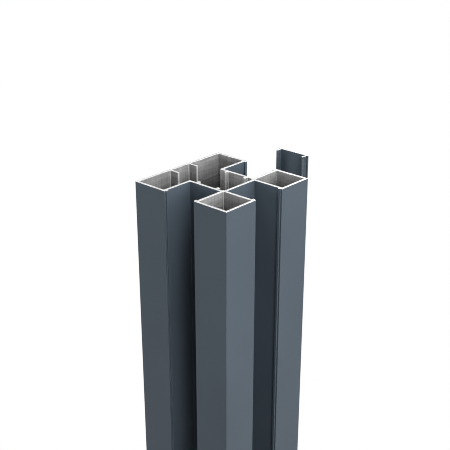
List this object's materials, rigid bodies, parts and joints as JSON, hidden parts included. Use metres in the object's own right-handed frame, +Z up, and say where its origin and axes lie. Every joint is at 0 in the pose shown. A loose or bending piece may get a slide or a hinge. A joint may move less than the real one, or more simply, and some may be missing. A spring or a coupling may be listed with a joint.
{
  "type": "fence post",
  "caption": "Extruded aluminium fence post, square section with three panel grooves and hollow box corners, with its clip-in groove cover strip taken off.",
  "frame": {"origin": "centre of the square section, on the plane of the sawn foot, where a ground anchor enters the main chamber", "axes": "+Z up along the post, +X square to the face whose groove lies between the two closed box corners, -X square to the closed face, -Y and +Y square to the other two grooved faces"},
  "size_m": [0.09, 0.1323, 1.9],
  "materials": {
    "anthracite_coat": "satin powder coat, fine texture",
    "bare_aluminium": "raw extruded inside with die lines, sawn ends bright"
  },
  "bodies": {
    "root": {"post_profile": "anthracite_coat", "cover_strip": "anthracite_coat"}
  },
  "joints": []
}
